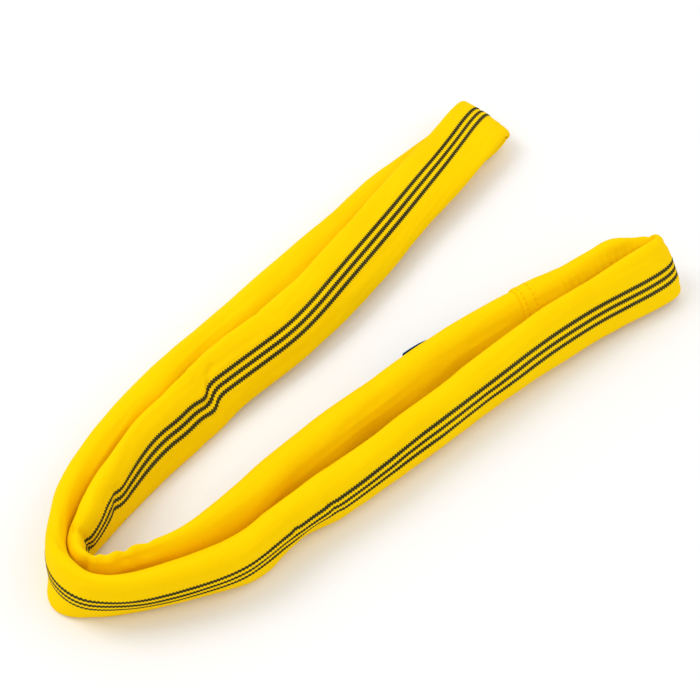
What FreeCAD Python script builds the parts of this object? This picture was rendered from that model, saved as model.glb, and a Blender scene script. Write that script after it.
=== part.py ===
import FreeCAD, Part
import math
import os

# Endless polyester round sling, 3 t class, 1 m effective working length.
# It lies doubled, its two legs side by side, and folded once more into a V.
# Millimetres, +Z up, the underside of the sleeve on z = 0.
# +X runs along the middle of the V, from its bight to its two folded ends.

# ---- driving dimensions -------------------------------------------------

sleeve_width = 28.0          # across a leg, as it lies
sleeve_height = 36.0         # a leg stands on its edge, taller than wide
sleeve_wall = 1.0            # one layer of woven sleeve
sleeve_foot_flat = 10.0      # left flat between the two lower rounds
sleeve_crown_flat = 2.0      # left flat between the two upper rounds

yarn_clearance = 0.15        # between neighbouring turns of the core hank
inner_turns = 3
outer_turns = 9

tape_wall = 0.5              # tape that binds the yarn ends
tape_length = 34.0
tape_clearance = 0.3

overlap_length = 40.0        # one sleeve end drawn over the other
overlap_gap = 0.2            # between the two layers
overlap_wall = 1.0
sleeve_end_gap = 0.4         # between the sleeve's two ends, inside the overlap
stitch_width = 0.8
stitch_proud = 0.5
stitch_edge_gap = 3.0        # first stitch row behind the hem's edge
stitch_row_spacing = 8.0

label_length = 90.0
label_upright = 21.0         # the part that stands against the leg
label_curl_radius = 8.5      # its lower part curls out on to the floor
label_toe = 10.0             # the part that lies on the floor
label_thickness = 0.8
label_floor_gap = 0.4
label_leg_gap = 1.2
label_turn_in = 2.2          # degrees, the leg bends away behind it
label_gap_from_hem = 0.6
cover_thickness = 0.3
cover_margin = 2.0
label_stitch_width = 0.7
label_tab_length = 26.0      # sewn in between sleeve and core
label_tab_height = 14.0
label_tab_thickness = 0.5
label_tab_clearance = 0.3    # on each face of the tab

bend_share = 0.45            # of the shorter run, taken up by each bend
sewing_tolerance = 0.001

# Centre line of the endless sleeve, seen from above, in the order in
# which the sleeve runs. The seam is on the first run, which closes it.
route = [
    # inner leg of the arm at -Y, from the seam towards the bight
    (105.3, -61), (57.3, -55), (7.3, -53), (-44.7, -52), (-97.7, -52.5),
    (-142.7, -51), (-174.7, -46.5),
    # pinched inner bight
    (-202.2, -37), (-201.2, -9), (-173.7, -2.5),
    # inner leg of the arm at +Y
    (-146.7, 6), (-100.7, 17.4), (-45.7, 23.8), (9.3, 31), (64.3, 41), (119.3, 55),
    (169.3, 66.5), (207.3, 73),
    # folded end of that arm
    (243.3, 77), (237.3, 112),
    # outer leg of the arm at +Y
    (201.3, 104), (164.3, 95.3), (117.3, 85.4), (64.3, 73), (9.3, 63),
    (-45.7, 56), (-100.7, 48.4), (-146.7, 39.8),
    # outer bight
    (-191.7, 29), (-234.7, 9), (-244.2, -37), (-206.2, -72),
    # outer leg of the arm at -Y
    (-155.7, -84.5), (-100.7, -85.5), (-45.7, -85.2), (9.3, -86.1), (64.3, -88),
    (115.3, -93), (159.3, -100), (197.3, -107),
    # folded end of that arm
    (232.3, -110), (232.8, -74.5),
    # back to the seam
    (195.3, -74), (152.3, -68),
]

# ---- the route and what is swept along it -------------------------------


def route_bends(across, height):
    """Start, middle and end of each bend, `across` to the left of the route."""
    points = [FreeCAD.Vector(x, y, height) for x, y in route]
    bends = []
    radii = []
    for index, corner in enumerate(points):
        before = points[index - 1]
        after = points[(index + 1) % len(points)]
        run_in = corner - before
        run_out = after - corner
        taken = bend_share * min(run_in.Length, run_out.Length)
        run_in.normalize()
        run_out.normalize()
        side = math.copysign(1.0, run_in.cross(run_out).z)
        radius = taken / math.tan(run_in.getAngle(run_out) / 2.0)
        left_in = FreeCAD.Vector(-run_in.y, run_in.x, 0)
        left_out = FreeCAD.Vector(-run_out.y, run_out.x, 0)
        centre = corner - run_in * taken + left_in * (side * radius)
        outward = corner - centre
        outward.normalize()
        start = corner - run_in * taken + left_in * across
        middle = centre + outward * (radius - side * across)
        end = corner + run_out * taken + left_out * across
        bends.append((start, middle, end))
        radii.append(radius)
    return bends, radii


def route_wire(across, height):
    """Closed wire of straight runs and tangent arcs."""
    bends, _ = route_bends(across, height)
    edges = []
    for index, (start, middle, end) in enumerate(bends):
        next_start = bends[(index + 1) % len(bends)][0]
        edges.append(Part.Arc(start, middle, end).toShape())
        edges.append(Part.LineSegment(end, next_start).toShape())
    return Part.Wire(edges)


def frame_at_start():
    """Where the route begins: point on the floor, way along it, way to its left."""
    start = route_bends(0.0, 0.0)[0][0][0]
    last_end = route_bends(0.0, 0.0)[0][-1][2]
    along = start - last_end
    along.normalize()
    left = FreeCAD.Vector(-along.y, along.x, 0)
    return start, along, left


def leg_section(origin, left, width, height, foot, crown, floor):
    """Section of a leg: flat below, with wide rounds above. Its foot is at `floor`."""
    up = FreeCAD.Vector(0, 0, 1)

    def place(across, level):
        return origin + left * across + up * (floor + level)

    half = width / 2.0
    diagonal = math.sqrt(0.5)
    corners = [
        (half - foot, foot, foot, 1, -1),
        (half - crown, height - crown, crown, 1, 1),
        (-half + crown, height - crown, crown, -1, 1),
        (-half + foot, foot, foot, -1, -1),
    ]
    arcs = []
    for centre_across, centre_level, radius, out, rise in corners:
        side_point = place(centre_across + out * radius, centre_level)
        mid_point = place(centre_across + out * radius * diagonal,
                          centre_level + rise * radius * diagonal)
        flat_point = place(centre_across, centre_level + rise * radius)
        if out * rise < 0:
            arcs.append((flat_point, mid_point, side_point))
        else:
            arcs.append((side_point, mid_point, flat_point))
    edges = []
    for index, (first, middle, last) in enumerate(arcs):
        edges.append(Part.Arc(first, middle, last).toShape())
        following = arcs[(index + 1) % len(arcs)][0]
        edges.append(Part.LineSegment(last, following).toShape())
    return Part.Wire(edges)


def swept(profile, across, height):
    """Closed solid of one section carried right round the route."""
    return route_wire(across, height).makePipeShell([profile], True, False)


# ---- woven sleeve -------------------------------------------------------

start, along, left = frame_at_start()
away = left * -1.0
sleeve_foot_radius = (sleeve_width - sleeve_foot_flat) / 2.0
sleeve_crown_radius = (sleeve_width - sleeve_crown_flat) / 2.0


def open_route():
    """The route with its last run cut short, so that the two sleeve ends part."""
    edges = list(route_wire(0.0, 0.0).Edges)
    last_end = route_bends(0.0, 0.0)[0][-1][2]
    edges[-1] = Part.LineSegment(last_end, start - along * sleeve_end_gap).toShape()
    return Part.Wire(edges)


outer_wire = leg_section(start, left, sleeve_width, sleeve_height,
                         sleeve_foot_radius, sleeve_crown_radius, 0.0)
inner_wire = leg_section(start, left,
                         sleeve_width - 2 * sleeve_wall,
                         sleeve_height - 2 * sleeve_wall,
                         sleeve_foot_radius - sleeve_wall,
                         sleeve_crown_radius - sleeve_wall,
                         sleeve_wall)

# One long tube, open at both ends: an outer skin, an inner skin and two rims.
sleeve_route = open_route()
outer_skin = sleeve_route.makePipeShell([outer_wire], False, False)
inner_skin = sleeve_route.makePipeShell([inner_wire], False, False)
first_rim = Part.makeFace([outer_wire, inner_wire], "Part::FaceMakerBullseye")
last_rim = first_rim.copy()
last_rim.translate(along * -sleeve_end_gap)
sleeve = Part.Solid(Part.Shell(outer_skin.Faces + inner_skin.Faces + [first_rim, last_rim]))
sleeve.fix(sewing_tolerance, sewing_tolerance, sewing_tolerance)


def band(from_edge, length, gap, proud):
    """Straight ring round the leg, `from_edge` back from the hem's edge."""
    origin = start - along * (from_edge + length)
    rings = []
    for stand in (gap + proud, gap):
        rings.append(leg_section(origin, left,
                                 sleeve_width + 2 * stand, sleeve_height + stand,
                                 sleeve_foot_radius, sleeve_crown_radius + stand, 0.0))
    outside = Part.Face(rings[0]).extrude(along * length)
    inside = Part.Face(rings[1]).extrude(along * length)
    return outside.cut(inside)


# The sleeve's other end, drawn over the first one and hemmed.
overlap = band(0.0, overlap_length, overlap_gap, overlap_wall)

# Two rows of thread hold the overlap, each round the sides and crown.
stitch_rows = []
for row in range(2):
    row_place = stitch_edge_gap + row * stitch_row_spacing
    stitch_rows.append(band(row_place, stitch_width, overlap_gap + overlap_wall, stitch_proud))

# ---- core ---------------------------------------------------------------

# The hank fills what the sleeve, the sewn-in label tab and the tape leave.
core_level = sleeve_height / 2.0
tab_space = label_tab_thickness + 2 * label_tab_clearance
tape_outer = sleeve_width / 2.0 - sleeve_wall - tab_space
tape_inner = tape_outer - tape_wall
hank_radius = tape_inner - tape_clearance

# Ring radii for a pitch of one: each inner turn nests between two outer ones.
nest_angle = math.pi / outer_turns
inner_share = 1.0 / (2.0 * math.sin(math.pi / inner_turns))
outer_share = inner_share * math.cos(nest_angle)
outer_share += math.sqrt(1.0 - (inner_share * math.sin(nest_angle)) ** 2)
yarn_diameter = (hank_radius - outer_share * yarn_clearance) / (outer_share + 0.5)
yarn_pitch = yarn_diameter + yarn_clearance

turn_places = []
for count, share, turned in ((inner_turns, inner_share, nest_angle),
                             (outer_turns, outer_share, 0.0)):
    for index in range(count):
        angle = turned + 2.0 * math.pi * index / count
        across = share * yarn_pitch * math.sin(angle)
        level = core_level + share * yarn_pitch * math.cos(angle)
        turn_places.append((across, level))

yarn_turns = []
for across, level in turn_places:
    middle = start + left * across + FreeCAD.Vector(0, 0, level)
    circle = Part.Wire(Part.Circle(middle, along, yarn_diameter / 2.0).toShape())
    yarn_turns.append(swept(circle, across, level))

# Tape round the hank, where the yarn's two ends are joined.
tape_start = start - along * (overlap_length + tape_length) / 2.0
tape_start = tape_start + FreeCAD.Vector(0, 0, core_level)
join_tape = Part.makeCylinder(tape_outer, tape_length, tape_start, along)
join_tape = join_tape.cut(Part.makeCylinder(tape_inner, tape_length, tape_start, along))

# ---- label --------------------------------------------------------------

# It hangs by its short edge from the hem, on the side away from the other
# leg, stands against the sleeve, and its lower part curls on to the floor.
hinge = start + away * (sleeve_width / 2.0 + overlap_gap + overlap_wall + label_leg_gap)
turn_in = FreeCAD.Rotation(FreeCAD.Vector(0, 0, 1), label_turn_in)
label_along = turn_in.multVec(along)
label_out = turn_in.multVec(away)


def curled_sheet(from_face, thickness, margin):
    """Sheet bent along the label's curl, `from_face` out from its back."""
    up = FreeCAD.Vector(0, 0, 1)
    centre_out = label_curl_radius
    centre_level = label_floor_gap + label_curl_radius
    top = centre_level + label_upright - margin
    toe = centre_out + label_toe - margin
    origin = hinge + label_along * (label_gap_from_hem + margin)

    def place(out, level):
        return origin + label_out * out + up * level

    def rail(offset):
        radius = label_curl_radius - offset
        slant = radius * math.sqrt(0.5)
        return [place(offset, top), place(offset, centre_level),
                place(centre_out - slant, centre_level - slant),
                place(centre_out, centre_level - radius),
                place(toe, centre_level - radius)]

    back = rail(from_face)
    face = rail(from_face + thickness)
    edges = [
        Part.LineSegment(back[0], back[1]),
        Part.Arc(back[1], back[2], back[3]),
        Part.LineSegment(back[3], back[4]),
        Part.LineSegment(back[4], face[4]),
        Part.LineSegment(face[4], face[3]),
        Part.Arc(face[3], face[2], face[1]),
        Part.LineSegment(face[1], face[0]),
        Part.LineSegment(face[0], back[0]),
    ]
    section = Part.Face(Part.Wire([edge.toShape() for edge in edges]))
    return section.extrude(label_along * (label_length - 2 * margin))


label_panel = curled_sheet(0.0, label_thickness, 0.0)
label_cover = curled_sheet(label_thickness, cover_thickness, cover_margin)

# The thread runs round the clear cover, a little inside the panel's edge.
stitch_outer = curled_sheet(label_thickness, cover_thickness, cover_margin - label_stitch_width)
label_stitches = stitch_outer.cut(label_cover)

# Part of the label that stays inside the sleeve, for tracing a worn sling.
tab_face = sleeve_width / 2.0 - sleeve_wall - label_tab_clearance - label_tab_thickness
tab_base = start - along * (stitch_edge_gap + label_tab_length) + away * tab_face
tab_base = tab_base + FreeCAD.Vector(0, 0, core_level - label_tab_height / 2.0)
tab_section = Part.makePolygon([
    tab_base,
    tab_base + away * label_tab_thickness,
    tab_base + away * label_tab_thickness + FreeCAD.Vector(0, 0, label_tab_height),
    tab_base + FreeCAD.Vector(0, 0, label_tab_height),
    tab_base,
])
label_tab = Part.Face(tab_section).extrude(along * label_tab_length)

# ---- files --------------------------------------------------------------

pieces = {
    "woven_sleeve": sleeve,
    "sleeve_overlap_end": overlap,
    "seam_stitch_row_1": stitch_rows[0],
    "seam_stitch_row_2": stitch_rows[1],
    "core_join_tape": join_tape,
    "label_panel": label_panel,
    "label_clear_cover": label_cover,
    "label_edge_stitching": label_stitches,
    "label_sewn_in_tab": label_tab,
}
for number, turn in enumerate(yarn_turns, start=1):
    pieces["core_yarn_turn_%02d" % number] = turn

os.makedirs("parts", exist_ok=True)
for name, shape in pieces.items():
    shape.exportStep(os.path.join("parts", name + ".step"))

_, radii = route_bends(0.0, 0.0)
print("bend radii", [round(radius, 1) for radius in radii])
print("sleeve length %.1f, volume %.0f, wall section times length %.0f"
      % (sleeve_route.Length, sleeve.Volume, first_rim.Area * sleeve_route.Length))
print("yarn diameter %.2f" % yarn_diameter)
print("hinge", [round(value, 2) for value in hinge])
for name, shape in pieces.items():
    print("%-22s valid %s solids %d volume %.0f" % (name, shape.isValid(),
                                                   len(shape.Solids), shape.Volume))
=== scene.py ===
import math

import bmesh
import bpy
import numpy as np
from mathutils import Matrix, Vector, noise


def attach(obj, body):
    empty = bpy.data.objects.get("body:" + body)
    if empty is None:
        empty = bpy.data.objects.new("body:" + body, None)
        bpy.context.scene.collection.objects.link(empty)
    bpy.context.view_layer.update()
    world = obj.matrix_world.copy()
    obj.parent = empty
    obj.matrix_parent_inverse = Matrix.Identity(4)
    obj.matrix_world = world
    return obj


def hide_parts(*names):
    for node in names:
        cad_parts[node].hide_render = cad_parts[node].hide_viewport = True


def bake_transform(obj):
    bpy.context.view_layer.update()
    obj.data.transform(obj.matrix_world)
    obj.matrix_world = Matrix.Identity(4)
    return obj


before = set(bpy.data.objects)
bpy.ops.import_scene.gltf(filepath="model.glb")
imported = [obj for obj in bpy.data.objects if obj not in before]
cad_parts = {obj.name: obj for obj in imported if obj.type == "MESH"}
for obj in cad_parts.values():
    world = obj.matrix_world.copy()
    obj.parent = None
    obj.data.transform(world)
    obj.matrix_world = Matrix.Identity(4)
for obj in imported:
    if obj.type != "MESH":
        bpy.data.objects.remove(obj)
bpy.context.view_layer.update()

# ---- Camera, floor and light --------------------------------------------
# A long lens looks down on the sling from its open side. The floor is a pale
# sheet, lit evenly all round, with one large soft lamp at the upper left.

TARGET = Vector((0.030, 0.006, 0.0))
DISTANCE = 1.4638
ELEVATION = math.radians(47.0)
VIEW_TURN = math.radians(-44.45)

toward = Vector((math.sin(-VIEW_TURN), math.cos(-VIEW_TURN), 0.0))
camera_data = bpy.data.cameras.new("camera")
camera_data.lens = 110.06
camera_data.sensor_width = 36.0
camera = bpy.data.objects.new("camera", camera_data)
bpy.context.collection.objects.link(camera)
camera.location = TARGET - toward * (DISTANCE * math.cos(ELEVATION))
camera.location.z = DISTANCE * math.sin(ELEVATION)
camera.rotation_euler = (math.radians(90.0) - ELEVATION, 0.0, VIEW_TURN)
bpy.context.scene.camera = camera
bpy.context.scene.view_settings.view_transform = "Standard"

floor_bm = bmesh.new()
bmesh.ops.create_grid(floor_bm, x_segments=1, y_segments=1, size=4.0)
floor_mesh = bpy.data.meshes.new("floor")
floor_bm.to_mesh(floor_mesh)
floor_bm.free()
floor = bpy.data.objects.new("floor", floor_mesh)
bpy.context.collection.objects.link(floor)


def new_material(name):
    material = bpy.data.materials.new(name)
    material.use_nodes = True
    return material, material.node_tree, material.node_tree.nodes["Principled BSDF"]


floor_paper, _, floor_shader = new_material("floor_paper")
floor_shader.inputs["Base Color"].default_value = (0.94, 0.94, 0.94, 1.0)
floor_shader.inputs["Roughness"].default_value = 0.95
floor_shader.inputs["Specular IOR Level"].default_value = 0.1
floor_mesh.materials.append(floor_paper)

world = bpy.data.worlds.new("studio")
bpy.context.scene.world = world
world.use_nodes = True
world.node_tree.nodes["Background"].inputs["Color"].default_value = (1.0, 1.0, 1.0, 1.0)
world.node_tree.nodes["Background"].inputs["Strength"].default_value = 0.86

lamps = (("key_lamp", (-0.7, 0.9, 1.6), 1.0, 11.0), ("fill_lamp", (0.9, -0.9, 1.4), 1.4, 3.0))
for lamp_name, lamp_place, lamp_size, lamp_watts in lamps:
    lamp_data = bpy.data.lights.new(lamp_name, "AREA")
    lamp_data.size = lamp_size
    lamp_data.energy = lamp_watts
    lamp = bpy.data.objects.new(lamp_name, lamp_data)
    bpy.context.collection.objects.link(lamp)
    lamp.location = lamp_place
    lamp.rotation_euler = (-Vector(lamp_place)).to_track_quat("-Z", "Y").to_euler()

# ---- Woven sleeve -------------------------------------------------------
# One long yellow polyester tube, woven without a side seam and run round into
# an endless loop. It is limp: full in mid arm, flat where it is folded. Its
# two ends overlap and are sewn together at the seam.

MILLIMETRE = 0.001
SLEEVE_ROUND = 0.104        # all round the tube, so 52 mm wide when flat
SLEEVE_SOFTNESS = 0.571     # width given up for each unit of thickness
SECTION_SQUARENESS = 2.3
AROUND = 96                 # faces round the tube
FLOOR_GAP = 0.0004          # the sleeve and the label stay this far off the floor

# Each point of the route: place of the middle (mm), how far the flat of the
# sleeve leans back from upright (degrees), how thick it is there, how much of
# its width is tucked into folds, and how far its stripes have rolled up (mm).
ROUTE = [
    # seam, inner leg of the label's arm
    (120.2, -66.1, 19, 26.7, 20.3, 0, 0),
    (106, -63, 19, 26, 21, 0, 0), (58, -57, 19, 24, 23, 0, 0), (8, -56, 19, 20, 24, 0, 0),
    (-44, -54.5, 19, 17, 25, 0, 0), (-97, -56, 19, 12, 25, 0, 0),
    (-135, -60.8, 20, 8, 22, 0, 0), (-168, -61, 21, 6, 16, 0, 0),
    (-189.5, -54.2, 21, 4, 13, 2, 0), (-207.5, -45.8, 21, 2, 11, 4, 0),
    # pinched inner bight
    (-223, -39, 20.5, 0, 10, 6, 0), (-231, -25, 20.5, 0, 11, 6, 0), (-223, -10, 21, 0, 13, 6, 1),
    # inner leg of the other arm, its marker stripes showing
    (-205, -3, 22, 6, 16, 3, 0.5), (-189, 3.6, 22, 12, 15, 0, 4),
    (-178, 7.2, 22, 15, 15, 0, 0.5),
    (-167, 10.5, 21.5, 20, 15, 0, 1.2), (-149, 16.3, 20.5, 29, 14.5, 0, 1.2),
    (-129, 21.3, 19.5, 37, 14.5, 0, 1.2), (-111, 24, 19, 37, 15, 0, 0),
    (-96, 27, 19.5, 42, 15, 0, -1), (-84, 28.5, 19.5, 42, 13, 0, -4),
    (-76, 29.5, 20, 43, 13, 0, 1.5), (-62, 31, 21, 45, 14, 0, 0),
    (-36, 32.5, 21.5, 49, 14, 0, -1.5), (-4, 34, 21.5, 54, 14, 0, -2.5),
    (23, 37.3, 22, 55, 13.5, 0, -1.5),
    (51, 42.4, 22, 57, 13.5, 0, 0.6), (110.5, 57, 20.5, 67, 13, 0, 0.5),
    (160, 70, 20, 78, 12, 0, 0), (205, 80, 20, 84, 8.5, 0, 2),
    # folded end of that arm, lying flat
    (250, 92, 20.5, 88, 9, 0, 4), (261, 95, 13, 88, 8, 0, 4), (248, 94, 6, 88, 9, 0, 4),
    # outer leg of that arm, under the inner one
    (205, 91, 7, 84, 10, 0, 2), (160, 87, 9.5, 78, 13, 0, 0), (110, 79, 12, 70, 16, 0, 0),
    (50, 70, 15.2, 58, 20, 0, 0), (-5, 62, 17, 50, 22, 0, 0), (-60, 55.5, 18, 42, 22, 0, 0),
    (-110, 47.5, 19, 34, 21, 0, 0), (-157, 36, 20, 22, 20, 0, 0), (-182, 28.5, 21, 15, 20, 0, 0),
    (-203.5, 18.8, 21.5, 9, 19, 0, 0),
    # outer bight
    (-219.5, 7.5, 22, 5, 15, 0, 0), (-234.5, -5.5, 22.5, 3, 14, 0, 0),
    (-243, -20.5, 22.5, 1, 14, 0, 0), (-243, -39, 22, -8, 14.5, 0, 2),
    (-232.3, -51.2, 21.5, -15, 16, 0, 2.6),
    # outer leg of the label's arm
    (-216, -61.5, 21, -17, 18.5, 0, 1.5), (-200, -69.5, 21, -14, 20.5, 0, 1.5),
    (-180, -78.5, 21, -13, 21, 0, 1.5), (-160, -86, 21, -9, 24, 0, 3.2),
    (-142, -87.5, 21, -6, 21, 0, 2.5), (-119, -86, 21, -3, 22, 0, 1.5),
    (-60, -91, 21.5, 6, 23.5, 0, 3.2), (0, -92.5, 22.5, 15, 24, 0, 2.6),
    (56, -93, 24, 21, 23, 0, 0.6), (106, -95, 25, 27, 21, 0, 0),
    (150, -98.5, 25, 29, 19, 0, -0.5), (190, -103.5, 25, 31, 15, 0, -3.5),
    # folded end of that arm
    (224, -109.5, 25, 33, 10, 0, -3.5), (234.3, -102.3, 19.8, 32, 9, 2.4, -1),
    (223, -94, 17, 33, 11, 1.4, -4),
    # back to the seam
    (192, -80.5, 20.5, 32, 15, 0, 0), (160, -75, 20, 30, 19, 0, 0),
    (133, -68.7, 19, 27.3, 19.7, 0, 0), (120.2, -66.1, 19, 26.7, 20.3, 0, 0),
]


def spline_points(name, points):
    """Points along the smooth line that a route's control points steer."""
    curve = bpy.data.curves.new(name, "CURVE")
    curve.dimensions = "3D"
    spline = curve.splines.new("NURBS")
    spline.points.add(len(points) - 1)
    for control, point in zip(spline.points, points):
        control.co = (*point, 1.0)
    spline.order_u = 3
    spline.use_endpoint_u = True
    curve.resolution_u = 16
    line = bpy.data.objects.new(name, curve)
    bpy.context.collection.objects.link(line)
    bpy.context.view_layer.update()
    mesh = bpy.data.meshes.new_from_object(
        line.evaluated_get(bpy.context.evaluated_depsgraph_get()))
    places = np.array([vertex.co[:] for vertex in mesh.vertices])
    bpy.data.objects.remove(line)
    bpy.data.meshes.remove(mesh)
    return places


def unit(vectors):
    return vectors / np.linalg.norm(vectors, axis=-1, keepdims=True)


middle = spline_points("sleeve_route", [(row[0] * MILLIMETRE, row[1] * MILLIMETRE,
                                         row[2] * MILLIMETRE) for row in ROUTE])
lean, thickness, tucked = spline_points("sleeve_shape", [row[3:6] for row in ROUTE]).T
rolled = spline_points("stripe_roll", [(row[6], 0.0, 0.0) for row in ROUTE])[:, 0] * MILLIMETRE
lean = np.radians(lean)
thickness = thickness * MILLIMETRE
widths = SLEEVE_ROUND / 2.0 - SLEEVE_SOFTNESS * thickness - tucked * MILLIMETRE
stations = len(middle)
run = np.concatenate([[0.0], np.cumsum(np.linalg.norm(np.diff(middle, axis=0), axis=1))])
sleeve_length = run[-1]

# The flat of the sleeve stands along `rise`, and the marker stripes face `face`.
neighbours = np.vstack([middle[-2], middle, middle[1]])
along = unit(neighbours[2:] - neighbours[:-2])
rise = np.stack([np.zeros(stations), np.sin(lean), np.cos(lean)], axis=1)
rise = unit(rise - (rise * along).sum(axis=1, keepdims=True) * along)
face = np.cross(along, rise)


OUTLINE_STEPS = 720


def section_outline(thick, wide, count, roll):
    """Places round a soft oval, evenly spaced from `roll` past the middle of its face."""
    angle = np.linspace(-2.0 * math.pi, 2.0 * math.pi, 2 * OUTLINE_STEPS + 1)
    power = 2.0 / SECTION_SQUARENESS
    out = thick / 2.0 * np.sign(np.cos(angle)) * np.abs(np.cos(angle)) ** power
    up = wide / 2.0 * np.sign(np.sin(angle)) * np.abs(np.sin(angle)) ** power
    travelled = np.concatenate([[0.0], np.cumsum(np.hypot(np.diff(out), np.diff(up)))])
    once_round = travelled[-1] / 2.0
    wanted = once_round + roll + np.linspace(0.0, once_round, count + 1)
    wanted = np.where(wanted > travelled[-1], wanted - once_round, wanted)
    return np.interp(wanted, travelled, out), np.interp(wanted, travelled, up)


def ring_grid(count):
    """Rings of places round the route's middle line, the last column closing them."""
    places = np.zeros((stations, count + 1, 3))
    for station in range(stations):
        out, up = section_outline(thickness[station], widths[station], count, rolled[station])
        places[station] = (middle[station] + out[:, None] * face[station]
                           + up[:, None] * rise[station])
    return places


def grid_normals(places):
    """Outward direction at each place of a closed tube's grid."""
    down_line = np.gradient(places, axis=0)
    ring = places[:, :-1]
    round_line = np.roll(ring, -1, axis=1) - np.roll(ring, 1, axis=1)
    round_line = np.concatenate([round_line, round_line[:, :1]], axis=1)
    return unit(np.cross(down_line, round_line))


sleeve_grid = ring_grid(AROUND)

# Where one leg would pass through its neighbour, both give way.
NEIGHBOUR_REACH = 0.06
NOT_A_NEIGHBOUR = 9.0
PRESSED_SHARE = 0.30

pressed = np.zeros_like(sleeve_grid)
for station in range(stations):
    apart = np.abs(run - run[station])
    apart = np.minimum(apart, sleeve_length - apart)
    distance = np.linalg.norm(middle - middle[station], axis=1)
    distance[apart < NEIGHBOUR_REACH] = NOT_A_NEIGHBOUR
    other = int(np.argmin(distance))
    if distance[other] < NEIGHBOUR_REACH:
        offset = sleeve_grid[station] - middle[other]
        out_share = np.abs(offset @ face[other]) / (thickness[other] / 2.0)
        up_share = np.abs(offset @ rise[other]) / (widths[other] / 2.0)
        level = (out_share ** SECTION_SQUARENESS + up_share ** SECTION_SQUARENESS) ** 0.5
        deep = np.clip(1.0 - level, 0.0, 1.0) * thickness[other] * PRESSED_SHARE
        pressed[station] = deep[:, None] * unit(middle[other] - middle[station])
sleeve_grid = sleeve_grid - pressed

# Gathers across the sleeve: the middle of each along and across it, reach
# each way, pitch and height. The first is at the seam, the next two between
# the seam and the folded end, and the last at the inner bight.
GATHERS = (
    (0.000, 0.020, 0.030, 0.090, 0.0050, 0.00025),
    (1.950, 0.043, 0.028, 0.014, 0.0062, 0.00100), (1.984, 0.043, 0.036, 0.013, 0.0056, 0.00070),
    (0.338, 0.026, 0.034, 0.030, 0.0120, 0.00055),
)

# Slack that bulges out or draws in: place along and across the sleeve, reach
# each way and height. The first is the foot of the outer bight on the floor.
BULGES = (
    (1.404, -0.021, 0.025, 0.014, 0.0070),
    (1.534, -0.018, 0.026, 0.014, 0.0024), (1.575, -0.014, 0.024, 0.014, -0.0026),
    (1.950, 0.026, 0.020, 0.014, 0.0028), (0.398, 0.020, 0.012, 0.016, 0.0016),
)

# Sharper creases, each from one place along and across to another, then its
# depth and half width: the pinch of the inner bight, the kinks of the stripes.
CREASES = (
    (0.381, 0.030, 0.384, -0.004, 0.0024, 0.0030), (0.355, 0.024, 0.359, 0.044, 0.0022, 0.0030),
    (0.333, 0.016, 0.335, 0.034, 0.0011, 0.0028), (0.318, 0.018, 0.321, 0.034, 0.0009, 0.0030),
    (1.374, 0.024, 1.399, 0.031, 0.0012, 0.0030), (0.519, -0.002, 0.541, 0.014, 0.0012, 0.0026),
    (0.417, -0.006, 0.423, 0.008, 0.0014, 0.0034), (1.555, 0.026, 1.560, 0.004, 0.0011, 0.0024),
    (1.538, 0.028, 1.539, 0.010, 0.0007, 0.0026), (1.587, 0.010, 1.593, -0.006, 0.0010, 0.0024),
    (1.917, 0.038, 1.923, 0.026, 0.0012, 0.0024), (0.593, 0.030, 0.605, 0.014, 0.0007, 0.0030),
)

# Soft lumps of the core, long slack folds and finer slanting wrinkles.
LUMP_HEIGHT = 0.0012
FOLD_HEIGHT = 0.0004
SLANT_HEIGHT = 0.00022
LUMP_LENGTH = 0.048
FOLD_LENGTH = 0.085
SLANT_LENGTH = 0.015

wrinkles = np.zeros((stations, AROUND + 1))
for station in range(stations):
    place = run[station]
    for column in range(AROUND):
        turn = 2.0 * math.pi * column / AROUND
        side = math.cos(turn)
        high = math.sin(turn)
        lump = noise.noise(Vector((place / LUMP_LENGTH, side * 0.9, high * 0.9)))
        ridge = noise.noise(Vector((place / FOLD_LENGTH + 9.0, side * 2.6, high * 2.6)))
        fold = 1.0 - abs(ridge) * 2.0
        slant = noise.noise(Vector((place / SLANT_LENGTH + side * 1.4, side * 2.0,
                                    high * 2.0 + 5.0)))
        wrinkles[station, column] = (LUMP_HEIGHT * lump + FOLD_HEIGHT * fold
                                     + SLANT_HEIGHT * slant)

# How far each place of a ring is round from the middle of the face.
ring_across = (np.arange(AROUND + 1) / AROUND + 0.5) % 1.0 * SLEEVE_ROUND - SLEEVE_ROUND / 2.0
for place, across, reach, spread, pitch, height in GATHERS:
    away = (run - place + sleeve_length / 2.0) % sleeve_length - sleeve_length / 2.0
    fade = np.cos(np.clip(away / reach, -1.0, 1.0) * math.pi / 2.0) ** 2
    slope = 2.4 * np.sin(4.0 * math.pi * ring_across / SLEEVE_ROUND)
    wave = np.sin(2.0 * math.pi * away[:, None] / pitch + slope[None, :])
    aside = np.clip((ring_across - across) / spread, -1.0, 1.0)
    patch = np.cos(aside * math.pi / 2.0) ** 2
    wrinkles += height * fade[:, None] * wave * patch[None, :]
for place, across, reach, spread, height in BULGES:
    away = np.clip((run - place) / reach, -1.0, 1.0)
    aside = np.clip((ring_across - across) / spread, -1.0, 1.0)
    wrinkles += (height * np.cos(away * math.pi / 2.0)[:, None] ** 2
                 * np.cos(aside * math.pi / 2.0)[None, :] ** 2)
for place_a, across_a, place_b, across_b, depth, width in CREASES:
    ahead = np.array((place_b - place_a, across_b - across_a))
    share = ((run - place_a)[:, None] * ahead[0] + (ring_across - across_a)[None, :] * ahead[1])
    share = np.clip(share / (ahead @ ahead), 0.0, 1.0)
    distance = np.hypot((run - place_a)[:, None] - share * ahead[0],
                        (ring_across - across_a)[None, :] - share * ahead[1])
    wrinkles -= depth * np.exp(-(distance / width) ** 2)
wrinkles[:, -1] = wrinkles[:, 0]

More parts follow.
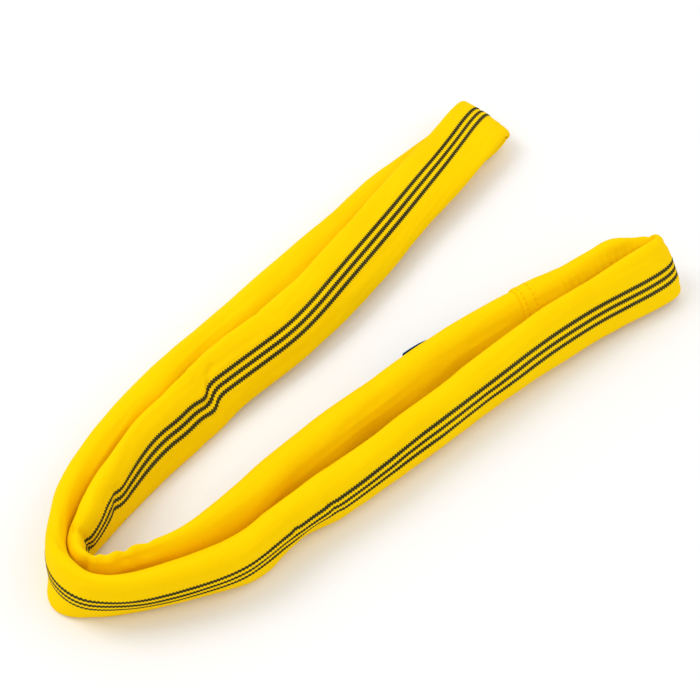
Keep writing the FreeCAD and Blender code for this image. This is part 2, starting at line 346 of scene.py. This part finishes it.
# The two ends of the route meet at the seam, so the wrinkles fade out there.
SEAM_FADE = 0.02
ends_meet = np.clip(np.minimum(run, sleeve_length - run) / SEAM_FADE, 0.0, 1.0)
sleeve_grid += grid_normals(sleeve_grid) * (wrinkles * ends_meet[:, None])[:, :, None]
sleeve_grid[:, :, 2] = np.maximum(sleeve_grid[:, :, 2], FLOOR_GAP)
sleeve_grid[-1] = sleeve_grid[0]
sleeve_normals = grid_normals(sleeve_grid)


def grid_piece(name, grids, material):
    """Sheets or tubes, one corner at each place, with their cloth map in metres."""
    bm = bmesh.new()
    cloth_map = bm.loops.layers.uv.new("cloth")
    for places, across, lengths in grids:
        rows, columns = places.shape[:2]
        corners = [[bm.verts.new(place) for place in row] for row in places]
        for row in range(rows - 1):
            for column in range(columns - 1):
                steps = ((row, column), (row + 1, column),
                         (row + 1, column + 1), (row, column + 1))
                quad = bm.faces.new([corners[r][c] for r, c in steps])
                quad.smooth = True
                for loop, (r, c) in zip(quad.loops, steps):
                    loop[cloth_map].uv = (across[c], lengths[r])
    bmesh.ops.remove_doubles(bm, verts=bm.verts, dist=1e-6)
    mesh = bpy.data.meshes.new(name)
    bm.to_mesh(mesh)
    bm.free()
    mesh.materials.append(material)
    piece = bpy.data.objects.new(name, mesh)
    bpy.context.collection.objects.link(piece)
    return piece


def weave_group():
    """Fine plain weave on the cloth map, as a height from -1 to 1."""
    group = bpy.data.node_groups.new("plain_weave", "ShaderNodeTree")
    group.interface.new_socket("Pitch", in_out="INPUT", socket_type="NodeSocketFloat")
    group.interface.new_socket("Height", in_out="OUTPUT", socket_type="NodeSocketFloat")
    nodes = group.nodes
    links = group.links
    entry = nodes.new("NodeGroupInput")
    cloth = nodes.new("ShaderNodeUVMap")
    cloth.uv_map = "cloth"
    split = nodes.new("ShaderNodeSeparateXYZ")
    links.new(cloth.outputs["UV"], split.inputs[0])
    product = nodes.new("ShaderNodeMath")
    product.operation = "MULTIPLY"
    for index, axis in enumerate(("X", "Y")):
        share = nodes.new("ShaderNodeMath")
        share.operation = "DIVIDE"
        links.new(split.outputs[axis], share.inputs[0])
        links.new(entry.outputs["Pitch"], share.inputs[1])
        turn = nodes.new("ShaderNodeMath")
        turn.operation = "MULTIPLY"
        turn.inputs[1].default_value = 2.0 * math.pi
        links.new(share.outputs[0], turn.inputs[0])
        wave = nodes.new("ShaderNodeMath")
        wave.operation = "SINE"
        links.new(turn.outputs[0], wave.inputs[0])
        links.new(wave.outputs[0], product.inputs[index])
    leave = nodes.new("NodeGroupOutput")
    links.new(product.outputs[0], leave.inputs["Height"])
    return group


WEAVE = weave_group()


def cloth_material(name, dark, light, pitch, bump_height):
    """Woven polyester: fine weave, faint sheen and slightly uneven dye."""
    material, tree, shader = new_material(name)
    nodes = tree.nodes
    links = tree.links
    weave = nodes.new("ShaderNodeGroup")
    weave.node_tree = WEAVE
    weave.inputs["Pitch"].default_value = pitch
    place = nodes.new("ShaderNodeTexCoord")
    dye = nodes.new("ShaderNodeTexNoise")
    dye.inputs["Scale"].default_value = 14.0
    dye.inputs["Detail"].default_value = 4.0
    links.new(place.outputs["Object"], dye.inputs["Vector"])
    tint = nodes.new("ShaderNodeValToRGB")
    tint.color_ramp.elements[0].position = 0.30
    tint.color_ramp.elements[0].color = (*dark, 1.0)
    tint.color_ramp.elements[1].position = 0.70
    tint.color_ramp.elements[1].color = (*light, 1.0)
    links.new(dye.outputs["Fac"], tint.inputs["Fac"])
    links.new(tint.outputs["Color"], shader.inputs["Base Color"])
    bump = nodes.new("ShaderNodeBump")
    bump.inputs["Strength"].default_value = 0.4
    bump.inputs["Distance"].default_value = bump_height
    links.new(weave.outputs["Height"], bump.inputs["Height"])
    links.new(bump.outputs["Normal"], shader.inputs["Normal"])
    shader.inputs["Roughness"].default_value = 0.75
    shader.inputs["Specular IOR Level"].default_value = 0.02
    return material


YELLOW_CLOTH = cloth_material("yellow_woven_polyester", (0.98, 0.62, 0.0004),
                              (1.0, 0.665, 0.0006), 0.0009, 0.00012)
round_places = np.linspace(0.0, SLEEVE_ROUND, AROUND + 1)
sleeve = grid_piece("sleeve_tube", [(sleeve_grid, round_places, run)], YELLOW_CLOTH)
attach(sleeve, "sling")
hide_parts("woven_sleeve")

# ---- Sleeve overlap -----------------------------------------------------
# The sleeve's other end, drawn 40 mm over the first and turned in at a hem.
# It is the same cloth, held by the two stitch rows, and stands a layer proud.

HEM_LENGTH = 0.040
HEM_PROUD = 0.0011
LAYER_GAP = 0.00012         # between the overlap's cloth and the sleeve's


def on_grid(places, normals, rows, columns, lift):
    """Places between a grid's corners, raised off it by `lift`."""
    low_row = np.clip(rows.astype(int), 0, len(places) - 2)
    low_column = np.clip(columns.astype(int), 0, places.shape[1] - 2)
    row_share = (rows - low_row)[..., None]
    column_share = (columns - low_column)[..., None]

    def mixed(values):
        low = values[low_row, low_column] * (1 - column_share)
        low = low + values[low_row, low_column + 1] * column_share
        high = values[low_row + 1, low_column] * (1 - column_share)
        high = high + values[low_row + 1, low_column + 1] * column_share
        return low * (1 - row_share) + high * row_share

    return mixed(places) + mixed(normals) * np.asarray(lift)[..., None]


def on_sleeve(lengths, across, lift):
    """Places `lengths` along the sleeve, `across` from the middle of its face."""
    lengths, across, lift = np.broadcast_arrays(lengths, across, lift)
    rows = np.interp(lengths, run, np.arange(stations))
    columns = across / SLEEVE_ROUND % 1.0 * AROUND
    return on_grid(sleeve_grid, sleeve_normals, rows, columns, lift)


def hem_lift(lengths):
    """How far the overlap stands off the sleeve, most at its hemmed edge."""
    into = 1.0 - (sleeve_length - lengths) / HEM_LENGTH
    return np.clip(into, 0.0, 1.0) ** 0.5 * HEM_PROUD * (into > 0.0)


# The last few rows are the rounded lip of the hem, down to the sleeve.
HEM_ROWS = 40
HEM_LIP = 0.0012
hem_run = np.concatenate([
    np.linspace(sleeve_length - HEM_LENGTH, sleeve_length - HEM_LIP, HEM_ROWS),
    sleeve_length - np.array([0.0008, 0.0004, 0.0001, 0.0, 0.0001])])
hem_rise = np.concatenate([hem_lift(hem_run[:HEM_ROWS]) + LAYER_GAP,
                           [0.00118, 0.00105, 0.0008, 0.0005, 0.0]])
hem_grid = on_sleeve(hem_run[:, None], round_places[None, :], hem_rise[:, None])
hem = grid_piece("sleeve_overlap_hem", [(hem_grid, round_places, hem_run)], YELLOW_CLOTH)
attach(hem, "sling")
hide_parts("sleeve_overlap_end")

# ---- Seam stitching -----------------------------------------------------
# Two rows of yellow polyester thread through both layers of the overlap, 3 mm
# and 11 mm behind its edge. Each stitch dips into the cloth at both ends.

STITCH_PITCH = 0.0036
STITCH_LENGTH = 0.0026
STITCH_ROWS = (0.003, 0.011)
STITCH_RISE = np.array([-0.00025, 0.00005, 0.0002, 0.00025, 0.0002, 0.00005, -0.00025])
SEAM_THREAD_RADIUS = 0.00032


def thread_piece(name, threads, radius, material):
    """Short lengths of thread, each along its places, thin at both ends."""
    grids = []
    turn = np.linspace(0.0, 2.0 * math.pi, 8)
    for places, up in threads:
        heading = unit(np.gradient(places, axis=0))
        aside = unit(np.cross(heading, up))
        above = np.cross(aside, heading)
        taper = np.array([0.0, 0.75] + [1.0] * (len(places) - 4) + [0.75, 0.0]) * radius
        ring = (aside[:, None] * np.cos(turn)[:, None] + above[:, None] * np.sin(turn)[:, None])
        grids.append((places[:, None] + ring * taper[:, None, None],
                      turn * radius, np.linspace(0.0, 0.003, len(places))))
    return grid_piece(name, grids, material)


SEWING_THREAD = cloth_material("yellow_sewing_thread", (0.90, 0.50, 0.0006),
                               (0.96, 0.56, 0.0008), 0.0006, 0.00006)
stitch_count = int(SLEEVE_ROUND / STITCH_PITCH)
for number, behind in enumerate(STITCH_ROWS, start=1):
    threads = []
    for index in range(stitch_count):
        across = (index + 0.5) * SLEEVE_ROUND / stitch_count
        across = across + np.linspace(-0.5, 0.5, 7) * STITCH_LENGTH
        place = np.full(7, sleeve_length - behind)
        lift = hem_lift(place) + LAYER_GAP + STITCH_RISE
        places = on_sleeve(place, across, lift)
        threads.append((places, on_sleeve(place, across, lift + MILLIMETRE) - places))
    row = thread_piece("seam_stitches_%d" % number, threads, SEAM_THREAD_RADIUS, SEWING_THREAD)
    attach(row, "sling")
    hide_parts("seam_stitch_row_%d" % number)

# ---- Marker stripes -----------------------------------------------------
# Three dark warp stripes woven into one side of the sleeve, the sign of its
# working load. The floats of their yarns give each stripe a toothed edge.

STRIPE_SPACING = 0.0055
STRIPE_HALF = 0.0014
STRIPE_TOOTH = 0.00060
TOOTH_PITCH = 0.0021
STRIPE_LIFT = 0.00022

STRIPE_YARN = cloth_material("dark_marker_yarn", (0.036, 0.033, 0.010),
                             (0.066, 0.060, 0.018), 0.0012, 0.0002)
stripe_run = np.arange(0.0, sleeve_length - 0.0006, TOOTH_PITCH / 4.0)
tooth = np.abs(((stripe_run / TOOTH_PITCH) % 1.0) * 2.0 - 1.0) * 2.0 - 1.0
for number, offset in enumerate((-STRIPE_SPACING, 0.0, STRIPE_SPACING), start=1):
    columns = []
    for share in (-1.0, -0.5, 0.0, 0.5, 1.0):
        half = STRIPE_HALF + STRIPE_TOOTH * tooth * math.copysign(1.0, -share)
        lift = STRIPE_LIFT * (1.0 - 0.7 * abs(share)) + hem_lift(stripe_run)
        lift = lift + LAYER_GAP * (stripe_run > sleeve_length - HEM_LENGTH)
        columns.append(on_sleeve(stripe_run, offset + share * half, lift))
    stripe = grid_piece("marker_stripe_%d" % number,
                        [(np.stack(columns, axis=1), np.linspace(-STRIPE_HALF, STRIPE_HALF, 5),
                          stripe_run)], STRIPE_YARN)
    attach(stripe, "sling")

# ---- Core hank ----------------------------------------------------------
# One endless bundle of white load yarn, wound round the loop twelve times.
# The turns lie loose in the sleeve and flatten with it.

HANK_SHARE = 0.78           # of the sleeve's inside that the hank fills
INNER_TURNS = 3
OUTER_TURNS = 9
INNER_REACH = 0.36
OUTER_REACH = 0.76
STRAND_RADIUS = 0.21        # like the two reaches, a share of the hank's own
STRAND_STEP = 4             # one ring of the strand for so many stations


def in_sleeve(lengths, across, share):
    """Places inside the sleeve, `share` of the way out from its middle line."""
    skin = on_sleeve(lengths, across, 0.0)
    lengths, _ = np.broadcast_arrays(lengths, across)
    centre = np.stack([np.interp(lengths, run, middle[:, axis]) for axis in range(3)], axis=-1)
    return centre + (skin - centre) * np.asarray(share)[..., None]


WHITE_YARN = cloth_material("white_core_yarn", (0.62, 0.60, 0.55), (0.72, 0.70, 0.65),
                            0.0020, 0.0004)
strand_run = run[list(range(0, stations - 1, STRAND_STEP)) + [stations - 1]]
strand_turns = [(INNER_REACH, index / INNER_TURNS + 0.5 / OUTER_TURNS)
                for index in range(INNER_TURNS)]
strand_turns += [(OUTER_REACH, index / OUTER_TURNS) for index in range(OUTER_TURNS)]
strand_circle = np.linspace(0.0, 2.0 * math.pi, 13)
for number, (reach, turn) in enumerate(strand_turns, start=1):
    out = reach * math.cos(2.0 * math.pi * turn) + STRAND_RADIUS * np.cos(strand_circle)
    up = reach * math.sin(2.0 * math.pi * turn) + STRAND_RADIUS * np.sin(strand_circle)
    across = np.arctan2(up, out) / (2.0 * math.pi) * SLEEVE_ROUND
    share = np.hypot(out, up) * HANK_SHARE
    strand = grid_piece("hank_strand_%02d" % number,
                        [(in_sleeve(strand_run[:, None], across[None, :], share),
                          np.linspace(0.0, 0.017, 13), strand_run)], WHITE_YARN)
    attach(strand, "sling")
    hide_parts("core_yarn_turn_%02d" % number)

# ---- Join tape ----------------------------------------------------------
# A turn of white cloth tape round the hank, over the place where the yarn's
# two ends are joined. The overlap hides it.

TAPE = cloth_material("white_cloth_tape", (0.58, 0.57, 0.52), (0.66, 0.65, 0.60),
                      0.0007, 0.00008)
TAPE_OUTSIDE = 0.86         # share of the way out from the sleeve's middle
TAPE_INSIDE = 0.82
tape_run = np.linspace(sleeve_length - 0.037, sleeve_length - 0.003, 18)
tape_rings = [in_sleeve(tape_run[:, None], round_places[None, :], share)
              for share in (TAPE_OUTSIDE, TAPE_INSIDE)]
tape_grid = np.concatenate([tape_rings[0], tape_rings[1][::-1], tape_rings[0][:1]], axis=0)
tape_lengths = np.concatenate([tape_run, tape_run[::-1], tape_run[:1]])
tape = grid_piece("core_tape", [(tape_grid, round_places, tape_lengths)], TAPE)
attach(tape, "sling")
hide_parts("core_join_tape")

# ---- Sewn-in tab --------------------------------------------------------
# A strip of the label's own blue cloth, caught in the seam inside the sleeve,
# so that a sling whose label has torn off can still be traced.

TAB_OUTSIDE = 0.95          # share of the way out from the sleeve's middle
TAB_INSIDE = 0.90
TAB_HALF_WIDTH = 0.007


def slab(front, back):
    """Closed grid round a thin sheet, its four edges drawn together."""
    ring = np.concatenate([front, back[:, ::-1], front[:, :1]], axis=1)
    centre = (front + back) / 2.0
    closing = np.concatenate([centre, centre[:, ::-1], centre[:, :1]], axis=1)
    return np.concatenate([closing[:1], ring, closing[-1:]], axis=0)


LABEL_CLOTH = cloth_material("blue_label_cloth", (0.004, 0.040, 0.16),
                             (0.006, 0.055, 0.21), 0.0005, 0.00004)
tab_run = np.linspace(sleeve_length - 0.029, sleeve_length - 0.003, 14)
tab_across = np.linspace(-TAB_HALF_WIDTH, TAB_HALF_WIDTH, 8)
tab_grid = slab(*(in_sleeve(tab_run[:, None], tab_across[None, :], share)
                  for share in (TAB_OUTSIDE, TAB_INSIDE)))
tab = grid_piece("label_tab", [(tab_grid, np.linspace(0.0, 0.029, tab_grid.shape[1]),
                                np.linspace(0.0, 0.026, len(tab_grid)))], LABEL_CLOTH)
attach(tab, "sling")
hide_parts("label_sewn_in_tab")

# ---- Identification label -----------------------------------------------
# A blue coated panel, 90 by 44 mm, its short side caught in the seam. It
# leans on the leg and curls out on to the floor between the two arms.

LABEL_LENGTH = 0.090
LABEL_HEIGHT = 0.044
LABEL_THICK = 0.0008
ROW_STEP = 0.002            # rows lie across the label, from its root outwards
COLUMN_STEP = 0.001         # columns lie along it, from its top downwards
LABEL_ROWS = 46
LABEL_COLUMNS = 45
LABEL_OUT = np.array((0.0770, 0.9970, 0.0))
LABEL_CAUGHT = 0.002        # how far its root goes in under the hem
LABEL_LEAVES = -0.006       # how low on the sleeve's face it comes away

label_grid = np.zeros((LABEL_ROWS, LABEL_COLUMNS, 3))
down_label = np.linspace(0.0, LABEL_HEIGHT, LABEL_COLUMNS)
for row in range(LABEL_ROWS):
    reach = row * ROW_STEP
    place = (reach - LABEL_CAUGHT) % sleeve_length
    top = np.interp(reach, (0.0, 0.058, 0.070, 0.080, 0.090),
                    (0.010, 0.010, 0.0152, 0.0160, 0.0158))
    stand_off = np.interp(reach, (0.0, 0.010, 0.058, 0.070, 0.090),
                          (0.0001, 0.0007, 0.0008, 0.0012, 0.0013))
    against = top - LABEL_LEAVES
    low_point = on_sleeve(place, LABEL_LEAVES, stand_off)
    curl = low_point[2] - FLOOR_GAP
    bend = np.clip((down_label - against) / curl, 0.0, math.pi / 2.0)
    toe = np.clip(down_label - against - curl * math.pi / 2.0, 0.0, None)
    out = curl * (1.0 - np.cos(bend)) + toe
    free = low_point + out[:, None] * LABEL_OUT
    free[:, 2] = low_point[2] - curl * np.sin(bend) + toe * toe * (3.0 + 2.0 * math.sin(row * 0.2))
    leaning = on_sleeve(place, top - np.minimum(down_label, against), stand_off)
    label_grid[row] = np.where((down_label < against)[:, None], leaning, free)
for _ in range(6):
    eased = label_grid.copy()
    eased[:, 1:-1] = (label_grid[:, :-2] + 2.0 * label_grid[:, 1:-1] + label_grid[:, 2:]) / 4.0
    label_grid[:, 1:-1] = eased[:, 1:-1]
    label_grid[1:-1] = (label_grid[:-2] + 2.0 * label_grid[1:-1] + label_grid[2:]) / 4.0
label_grid[:, :, 2] = np.maximum(label_grid[:, :, 2], FLOOR_GAP)
label_normals = unit(np.cross(np.gradient(label_grid, axis=1), np.gradient(label_grid, axis=0)))


def on_label(rows, columns, lift):
    """Places on the label, by rows from its root and columns from its top."""
    rows, columns, lift = np.broadcast_arrays(rows, columns, lift)
    return on_grid(label_grid, label_normals, rows, columns, lift)


def label_sheet(rows, columns, low, high):
    """A closed thin sheet lying on the label between two heights."""
    front = on_label(rows[:, None], columns[None, :], high)
    back = on_label(rows[:, None], columns[None, :], low)
    grid = slab(back, front)
    return (grid, np.linspace(0.0, LABEL_HEIGHT * 2.0, grid.shape[1]),
            np.linspace(0.0, LABEL_LENGTH, len(grid)))


def ride_label(piece):
    """Bakes the piece's placement into its mesh, so that it stays where it lies."""
    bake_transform(piece)


label = grid_piece("label_panel_cloth",
                   [label_sheet(np.arange(float(LABEL_ROWS)), np.arange(float(LABEL_COLUMNS)),
                                0.0, LABEL_THICK)], LABEL_CLOTH)
ride_label(label)
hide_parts("label_panel")

# ---- Label rules, cover and stitching -----------------------------------
# White printed rules divide the panel into blank fields. A clear film lies
# over them, sewn down all round with short yellow stitches.

RULE_INK, _, rule_shader = new_material("white_label_ink")
rule_shader.inputs["Base Color"].default_value = (0.80, 0.82, 0.84, 1.0)
rule_shader.inputs["Roughness"].default_value = 0.6
rules = grid_piece("label_rules", [
    label_sheet(np.arange(6.0, 42.01, 1.0), np.array([column, column + 0.6]),
                LABEL_THICK - 0.0001, LABEL_THICK + 0.00005)
    for column in np.arange(7.0, 38.0, 6.0)], RULE_INK)
ride_label(rules)

FILM, _, film_shader = new_material("clear_film")
film_shader.inputs["Base Color"].default_value = (0.85, 0.90, 0.95, 1.0)
film_shader.inputs["Roughness"].default_value = 0.12
film_shader.inputs["Alpha"].default_value = 0.05
cover = grid_piece("label_cover_film",
                   [label_sheet(np.arange(1.0, 44.01, 1.0), np.arange(2.0, 42.01, 1.0),
                                LABEL_THICK + 0.0001, LABEL_THICK + 0.0003)], FILM)
ride_label(cover)
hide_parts("label_clear_cover")

# The stitches run from corner to corner, each corner a row and a column.
EDGE_CORNERS = ((1.5, 2.8), (43.5, 2.8), (43.5, 41.2), (1.5, 41.2), (1.5, 2.8))
EDGE_PITCH = 0.0034
EDGE_RISE = np.array([-0.0002, 0.00025, 0.0004, 0.00045, 0.0004, 0.00025, -0.0002])
EDGE_THREAD_RADIUS = 0.00028

label_threads = []
for (row_a, column_a), (row_b, column_b) in zip(EDGE_CORNERS[:-1], EDGE_CORNERS[1:]):
    side = math.hypot((row_b - row_a) * ROW_STEP, (column_b - column_a) * COLUMN_STEP)
    count = int(side / EDGE_PITCH)
    for index in range(count):
        share = (index + 0.5) / count + np.linspace(-0.36, 0.36, 7) / count
        rows = row_a + (row_b - row_a) * share
        columns = column_a + (column_b - column_a) * share
        lift = LABEL_THICK + EDGE_RISE
        places = on_label(rows, columns, lift)
        label_threads.append((places, on_label(rows, columns, lift + MILLIMETRE) - places))
edge_stitches = thread_piece("label_stitches", label_threads, EDGE_THREAD_RADIUS, SEWING_THREAD)
ride_label(edge_stitches)
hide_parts("label_edge_stitching")
